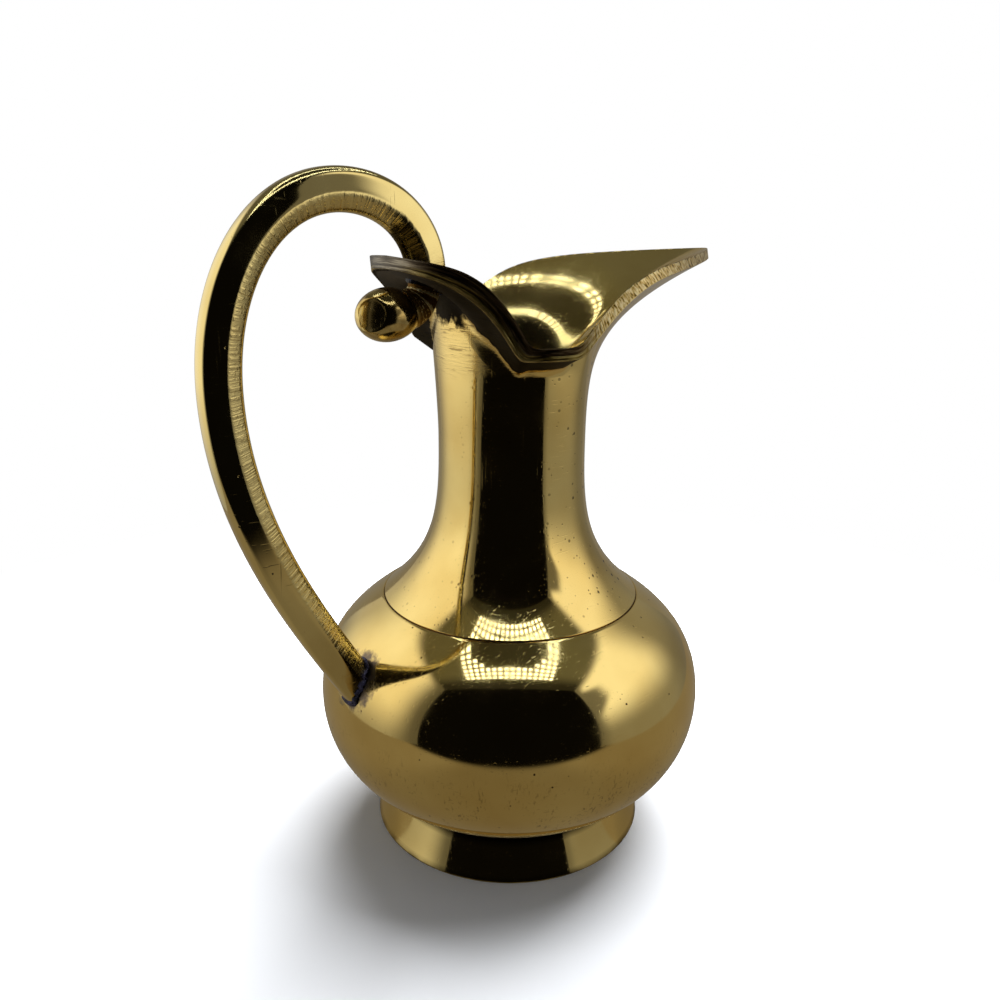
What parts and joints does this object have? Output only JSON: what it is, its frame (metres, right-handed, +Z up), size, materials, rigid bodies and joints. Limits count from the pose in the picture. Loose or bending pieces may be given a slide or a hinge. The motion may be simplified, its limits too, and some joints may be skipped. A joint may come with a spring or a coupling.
{
  "type": "pitcher",
  "caption": "Small brass pitcher with a round belly on a flared foot, a slim neck, a leaf-shaped mouth with a long spout, and a high loop handle ending in a ball knob.",
  "frame": {"origin": "bottom centre of the bounding box, on the plane that the foot stands on", "axes": "+Z up along the vessel's axis, +X from the handle towards the spout, +Y across the mirror plane"},
  "size_m": [0.137, 0.0938, 0.1583],
  "materials": {
    "foot_brass": "polished brass, slightly worn",
    "bowl_brass": "mirror-polished brass with fine scratches",
    "neck_brass": "mirror-polished brass, file-marked and darkened at the rim",
    "handle_brass": "polished cast brass with file marks",
    "braze": "heat-darkened braze, blue-black oxide"
  },
  "bodies": {
    "root": {"foot_ring": "foot_brass", "belly_bowl": "bowl_brass", "neck_and_mouth": "neck_brass", "handle": "handle_brass", "shoulder_seam_braze": "braze", "foot_seam_braze": "braze", "lower_handle_braze": "braze", "upper_handle_braze": "braze"}
  },
  "joints": []
}
